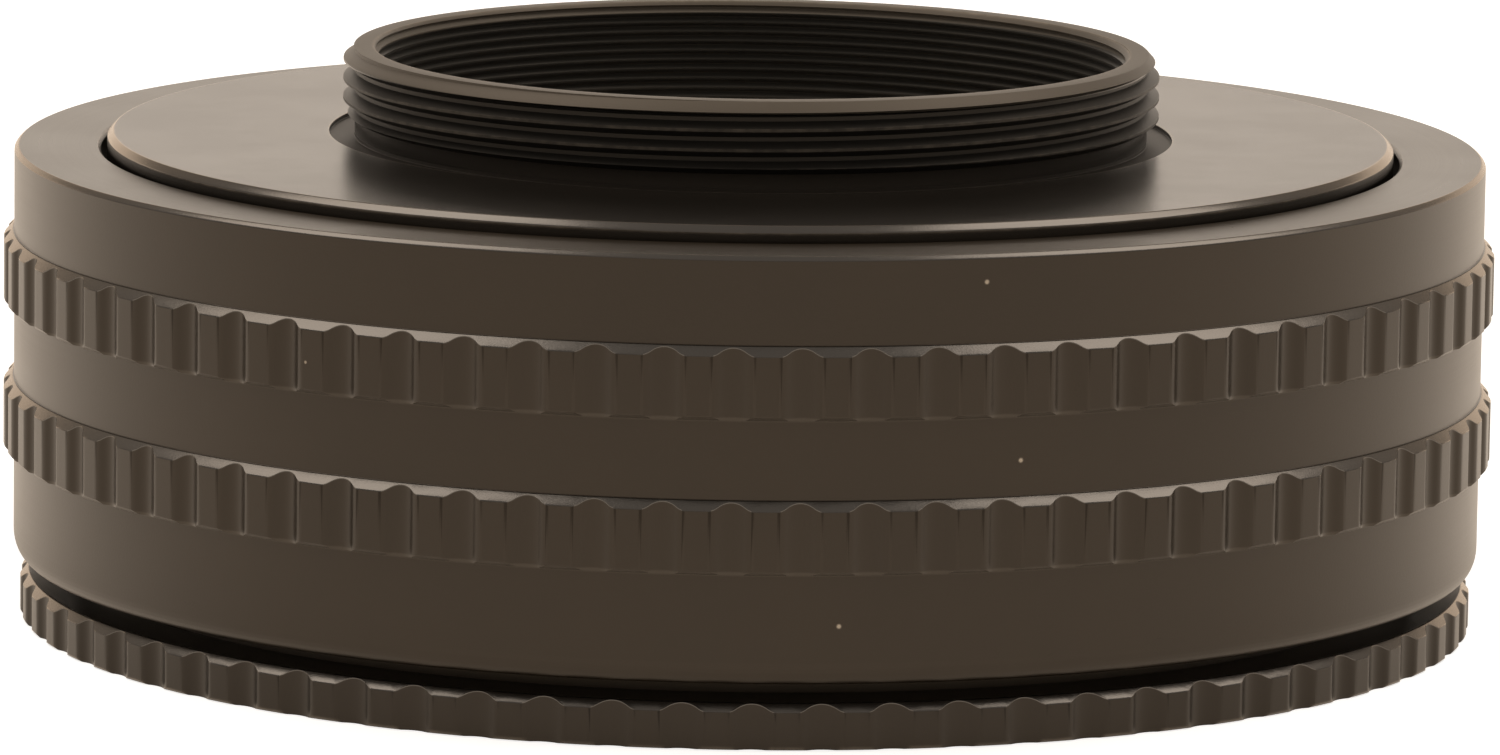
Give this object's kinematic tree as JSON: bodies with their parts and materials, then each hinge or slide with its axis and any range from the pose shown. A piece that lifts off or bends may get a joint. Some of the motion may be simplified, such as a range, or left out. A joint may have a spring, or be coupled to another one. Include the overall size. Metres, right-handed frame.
{
  "type": "focusing helicoid adapter",
  "caption": "Black double helicoid ring that joins a lens to a camera: turning its grip ring lengthens it without turning either end.",
  "frame": {"origin": "where the optical axis meets the foot, the flat ring the adapter stands on with its lens side down", "axes": "+Z along the optical axis from the lens side to the camera side; +X to the viewer's right in the picture, +Y away from the viewer"},
  "size_m": [0.0768, 0.0768, 0.0294],
  "materials": {
    "black_satin": "black anodised, satin, fine turning marks",
    "black_matt": "black anodised, matt, threaded",
    "guide_brass": "turned and milled",
    "black_steel": "blackened",
    "bright_steel": "ground",
    "white_slip": "smooth"
  },
  "bodies": {
    "lens_side": {"lens_barrel": "black_matt", "lens_mount_ring": "black_satin", "foot_keys": "black_steel"},
    "guide": {"guide_ring": "guide_brass", "guide_key_1": "guide_brass", "guide_key_2": "guide_brass", "guide_key_3": "guide_brass", "slide_block_1": "guide_brass", "slide_block_2": "guide_brass", "slide_block_3": "guide_brass", "key_pins": "bright_steel", "block_pins": "bright_steel", "snap_ring": "bright_steel", "slip_ring": "white_slip"},
    "focus": {"focus_ring": "black_satin", "helicoid_sleeve": "black_matt", "sleeve_screws": "black_steel"},
    "camera_side": {"mount_flange": "black_satin", "camera_barrel": "black_matt", "barrel_screws": "black_steel"}
  },
  "joints": [
    {"name": "guide_lift", "type": "slide", "parent": "lens_side", "child": "guide", "axis": [0, 0, 1], "range_m": [0, 0.015]},
    {"name": "focus_turn", "type": "hinge", "parent": "guide", "child": "focus", "pos_m": [0, 0, 0.0138], "axis": [0, 0, 1], "range_deg": [0, 300]},
    {"name": "camera_lift", "type": "slide", "parent": "guide", "child": "camera_side", "axis": [0, 0, 1], "range_m": [0, 0.015]}
  ],
  "couplings": [
    {"joint": "guide_lift", "follows": "focus_turn", "m_per_rad": 0.0028648},
    {"joint": "camera_lift", "follows": "focus_turn", "m_per_rad": 0.0028648}
  ]
}
